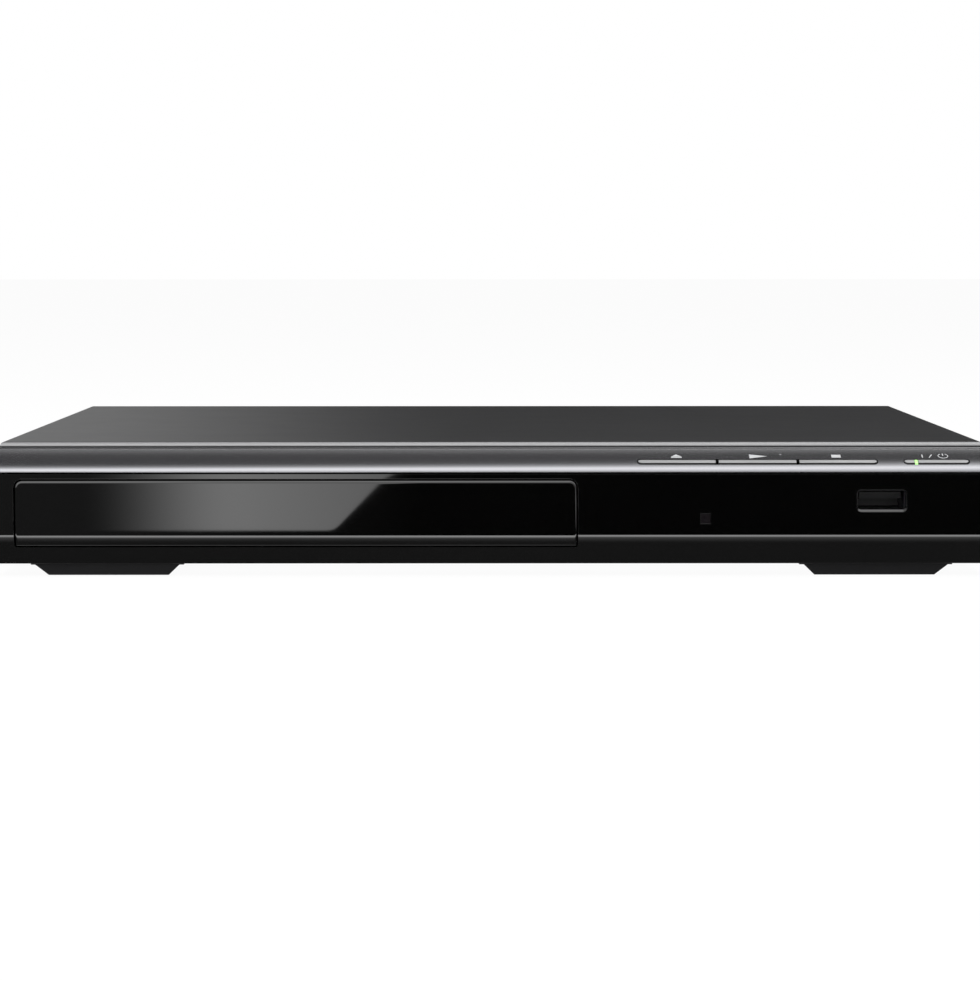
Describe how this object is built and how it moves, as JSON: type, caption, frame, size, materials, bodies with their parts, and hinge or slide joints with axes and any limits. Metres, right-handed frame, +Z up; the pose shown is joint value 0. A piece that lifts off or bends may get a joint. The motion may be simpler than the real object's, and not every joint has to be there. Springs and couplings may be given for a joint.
{
  "type": "dvd player with tray",
  "caption": "Slim disc player with a sloping grey nose over a glossy black front, a motor-driven loading tray, keys along the nose and a front data socket.",
  "frame": {"origin": "centre of the footprint on the surface that the player stands on", "axes": "+X to the right seen from the front, -Y out of the front face, +Z up"},
  "size_m": [0.273, 0.207, 0.036],
  "materials": {
    "chassis_steel": "zinc-coated sheet steel, dull",
    "rear_panel_paint": "fine matt black paint on sheet steel",
    "cover_paint": "dark grey satin paint on sheet steel",
    "dark_screws": "blackened steel",
    "bright_steel": "bright steel",
    "motor_steel": "plated steel can",
    "gloss_black": "polished black",
    "nose_grey": "grey metallic lacquer, satin",
    "key_silver": "silver lacquer, satin",
    "black_plastic": "fine-grained black",
    "pad_rubber": "soft, matt",
    "dark_window": "dark filter, polished",
    "gear_plastic": "natural white, waxy",
    "brass_gear": "turned brass",
    "board_green": "solder mask on glass laminate",
    "board_brown": "paper laminate",
    "can_sleeve": "printed sleeve on aluminium cans",
    "winding_tape": "yellow tape round a ferrite core",
    "contact_plate": "nickel plate",
    "core_plastic": "moulded insulators, coloured at the collars",
    "ribbon_film": "white flat cable",
    "harness_red": "insulated wires side by side",
    "lens_glass": "coated lens",
    "light_pipe": "clear moulding, lit green"
  },
  "bodies": {
    "casing": {"bottom_chassis": "chassis_steel", "rear_panel": "rear_panel_paint", "top_cover": "cover_paint", "cover_screws": "dark_screws", "front_bezel": "gloss_black", "nose_trim": "nose_grey", "sensor_window": "dark_window", "feet": "black_plastic", "foot_pads": "pad_rubber", "loader_chassis": "black_plastic", "clamper_bridge": "bright_steel", "loading_motor": "motor_steel", "drive_belt": "pad_rubber", "main_board": "board_green", "board_chips": "black_plastic", "board_capacitors": "can_sleeve", "power_board": "board_brown", "power_transformer": "winding_tape", "mains_inlet": "black_plastic", "inlet_pins": "contact_plate", "display_socket": "contact_plate", "socket_tongues": "black_plastic", "jack_block": "black_plastic", "jack_barrels": "contact_plate", "jack_cores": "core_plastic", "front_board": "board_green", "switch_bodies": "black_plastic", "ir_receiver": "black_plastic", "power_led": "light_pipe", "data_socket": "contact_plate", "loader_ribbon": "ribbon_film", "front_ribbon": "ribbon_film", "power_harness": "harness_red", "board_screws": "bright_steel"},
    "tray": {"disc_tray": "black_plastic", "tray_door": "gloss_black"},
    "drive_gear": {"tray_drive_gear": "gear_plastic"},
    "pulley": {"pulley_gear": "gear_plastic"},
    "motor_wheel": {"motor_pulley": "gear_plastic"},
    "cam": {"cam_slider": "gear_plastic"},
    "traverse": {"traverse_frame": "black_plastic", "mechanism_deck": "bright_steel", "deck_dampers": "pad_rubber", "guide_rods": "bright_steel", "spindle_motor": "motor_steel", "sled_motor": "motor_steel"},
    "sled_wheel": {"sled_gear": "gear_plastic"},
    "sled_pinion": {"sled_motor_pinion": "brass_gear"},
    "pickup": {"pickup_body": "black_plastic"},
    "lens": {"objective_lens": "lens_glass"},
    "spindle": {"turntable": "black_plastic"},
    "clamper": {"clamper_disc": "black_plastic", "clamper_magnet": "contact_plate"},
    "eject_key": {"eject_button": "key_silver"},
    "play_key": {"play_button": "key_silver"},
    "stop_key": {"stop_button": "key_silver"},
    "power_key": {"power_button": "key_silver", "power_light_pipe": "light_pipe"}
  },
  "joints": [
    {"name": "tray_slide", "type": "slide", "parent": "casing", "child": "tray", "axis": [0, -1, 0], "range_m": [0, 0.131]},
    {"name": "drive_gear_spin", "type": "hinge", "parent": "casing", "child": "drive_gear", "pos_m": [-0.007, -0.085, 0.014], "axis": [0, 0, 1], "continuous": true},
    {"name": "pulley_spin", "type": "hinge", "parent": "casing", "child": "pulley", "pos_m": [-0.0254, -0.085, 0.014], "axis": [0, 0, 1], "continuous": true},
    {"name": "motor_wheel_spin", "type": "hinge", "parent": "casing", "child": "motor_wheel", "pos_m": [-0.0619, -0.085, 0.016], "axis": [0, 0, 1], "continuous": true},
    {"name": "traverse_lift", "type": "hinge", "parent": "casing", "child": "traverse", "pos_m": [-0.0529, 0.0455, 0.015], "axis": [-1, 0, 0], "range_deg": [0, 3.6]},
    {"name": "cam_slide", "type": "slide", "parent": "casing", "child": "cam", "axis": [1, 0, 0], "range_m": [0, 0.014]},
    {"name": "pickup_slide", "type": "slide", "parent": "traverse", "child": "pickup", "axis": [0, 0.998, 0.0628], "range_m": [0, 0.0345]},
    {"name": "sled_wheel_spin", "type": "hinge", "parent": "traverse", "child": "sled_wheel", "pos_m": [-0.0232, 0.00594, 0.01071], "axis": [0, -0.0628, 0.998], "continuous": true},
    {"name": "sled_pinion_spin", "type": "hinge", "parent": "traverse", "child": "sled_pinion", "pos_m": [-0.0209, -0.00419, 0.00857], "axis": [0, -0.0628, 0.998], "continuous": true},
    {"name": "lens_focus", "type": "slide", "parent": "pickup", "child": "lens", "axis": [0, -0.0628, 0.998], "range_m": [-0.0004, 0.0004], "stiffness_N_per_m": 60},
    {"name": "spindle_spin", "type": "hinge", "parent": "traverse", "child": "spindle", "pos_m": [-0.0529, -0.03448, 0.01217], "axis": [0, -0.0628, 0.998], "continuous": true},
    {"name": "clamper_spin", "type": "hinge", "parent": "casing", "child": "clamper", "pos_m": [-0.0529, -0.0345, 0.028], "axis": [0, 0, 1], "continuous": true},
    {"name": "eject_press", "type": "slide", "parent": "casing", "child": "eject_key", "axis": [0, 0, -1], "range_m": [0, 0.0005], "stiffness_N_per_m": 400, "springref_m": -0.001},
    {"name": "play_press", "type": "slide", "parent": "casing", "child": "play_key", "axis": [0, 0, -1], "range_m": [0, 0.0005], "stiffness_N_per_m": 400, "springref_m": -0.001},
    {"name": "stop_press", "type": "slide", "parent": "casing", "child": "stop_key", "axis": [0, 0, -1], "range_m": [0, 0.0005], "stiffness_N_per_m": 400, "springref_m": -0.001},
    {"name": "power_press", "type": "slide", "parent": "casing", "child": "power_key", "axis": [0, 0, -1], "range_m": [0, 0.0005], "stiffness_N_per_m": 400, "springref_m": -0.001}
  ],
  "couplings": [
    {"joint": "drive_gear_spin", "follows": "tray_slide", "rad_per_m": -142.86},
    {"joint": "pulley_spin", "follows": "tray_slide", "rad_per_m": 404.76},
    {"joint": "motor_wheel_spin", "follows": "tray_slide", "rad_per_m": 1103.9},
    {"joint": "cam_slide", "follows": "traverse_lift", "m_per_rad": 0.2228},
    {"joint": "sled_wheel_spin", "follows": "pickup_slide", "rad_per_m": -238.1},
    {"joint": "sled_pinion_spin", "follows": "pickup_slide", "rad_per_m": 761.9}
  ]
}
